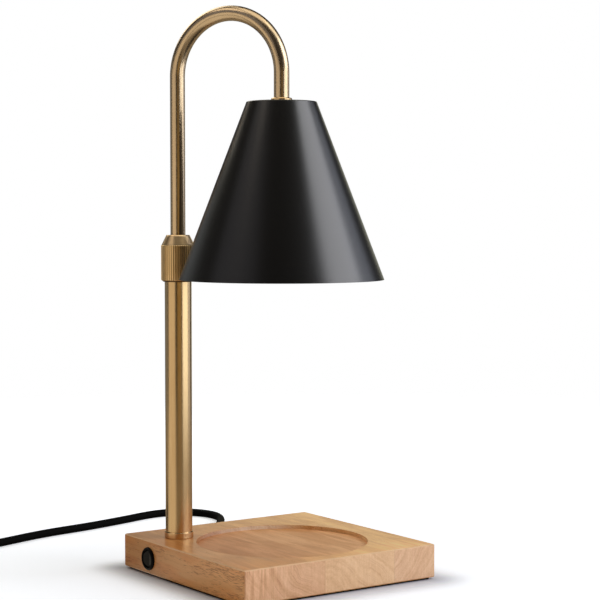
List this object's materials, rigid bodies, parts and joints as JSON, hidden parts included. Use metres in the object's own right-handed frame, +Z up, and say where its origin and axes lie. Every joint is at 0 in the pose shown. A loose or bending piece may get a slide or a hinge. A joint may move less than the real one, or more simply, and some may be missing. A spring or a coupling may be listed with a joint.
{
  "type": "candle warmer lamp",
  "caption": "Table candle warmer: a black cone shade with a reflector bulb hangs from a brass gooseneck on a height-adjustable pole over a round candle seat in a square wooden base.",
  "frame": {"origin": "on the surface the lamp stands on, under the middle of the square base", "axes": "+Z up along the pole; +Y from the front of the base to its rear face, where the cord leaves; +X to the right seen from the front; the pole stands near the rear left corner"},
  "size_m": [0.3119, 0.407, 0.3765],
  "materials": {
    "wood": "satin oiled pale hardwood",
    "foam_pad": "matte black foam",
    "cover_plastic": "matte black",
    "screw_steel": "plain",
    "zinc_steel": "zinc plated",
    "brass": "satin brushed antique brass",
    "brass_knurled": "straight knurl, satin",
    "nylon": "natural nylon",
    "cable_sheath": "matte",
    "shade_paint": "satin black powder coat",
    "holder_ceramic": "unglazed steatite",
    "bulb_ceramic": "smooth white",
    "bulb_mirror": "glass with a mirror coating",
    "bulb_glass": "clear",
    "switch_black": "fine matte",
    "switch_black_gloss": "semi-gloss",
    "terminal_plastic": "natural",
    "cord_black": "smooth black PVC",
    "tie_fabric": "woven hook-and-loop strap",
    "plug_black": "moulded black",
    "pin_metal": "nickel plated"
  },
  "bodies": {
    "base": {"base_block": "wood", "base_pad": "foam_pad", "bottom_cover": "cover_plastic", "cover_screws": "screw_steel", "foot_ring": "brass", "pole_nipple": "zinc_steel", "pole_washer": "zinc_steel", "pole_nut": "zinc_steel", "lower_tube": "brass", "collet_body": "brass", "collet": "nylon", "switch_housing": "switch_black", "rocker_pin": "screw_steel", "switch_terminals": "brass", "terminal_block": "terminal_plastic", "terminal_screws": "screw_steel", "base_cable": "cable_sheath", "switch_leads": "cable_sheath", "strain_relief": "cord_black", "inner_cord": "cord_black", "cord_clamp": "cover_plastic", "clamp_screws": "screw_steel", "power_cord": "cord_black", "cord_coil": "cord_black", "cord_tie": "tie_fabric", "cord_tail": "cord_black", "plug_body": "plug_black", "plug_pins": "pin_metal"},
    "collar": {"lock_collar": "brass_knurled"},
    "rocker": {"switch_rocker": "switch_black_gloss"},
    "guide": {"arm_guide": "nylon"},
    "arm": {"arm_tube": "brass", "retaining_rings": "screw_steel", "arm_cable": "cable_sheath", "shade_flange": "brass", "shade": "shade_paint", "shade_washer": "zinc_steel", "shade_nut": "zinc_steel", "holder_bracket": "zinc_steel", "bracket_screws": "screw_steel", "lamp_holder": "holder_ceramic"},
    "bulb": {"bulb_base": "bulb_ceramic", "bulb_pins": "screw_steel", "bulb_reflector": "bulb_mirror", "bulb_lens": "bulb_glass", "bulb_capsule": "bulb_glass"}
  },
  "joints": [
    {"name": "arm_height", "type": "slide", "parent": "base", "child": "guide", "axis": [0, 0, 1], "range_m": [-0.075, 0.04]},
    {"name": "arm_swivel", "type": "hinge", "parent": "guide", "child": "arm", "pos_m": [-0.051, 0.0427, 0.137], "axis": [0, 0, 1], "range_deg": [-150, 150]},
    {"name": "collar_turn", "type": "hinge", "parent": "base", "child": "collar", "pos_m": [-0.051, 0.0427, 0.21], "axis": [0, 0, 1], "range_deg": [0, 180]},
    {"name": "switch_rock", "type": "hinge", "parent": "base", "child": "rocker", "pos_m": [-0.0728, 0.0419, 0.0113], "axis": [0, 0, -1], "range_deg": [0, 18]},
    {"name": "bulb_twist", "type": "hinge", "parent": "arm", "child": "bulb", "pos_m": [-0.01647, -0.02969, 0.27], "axis": [0, 0, 1], "range_deg": [-25, 0]}
  ]
}
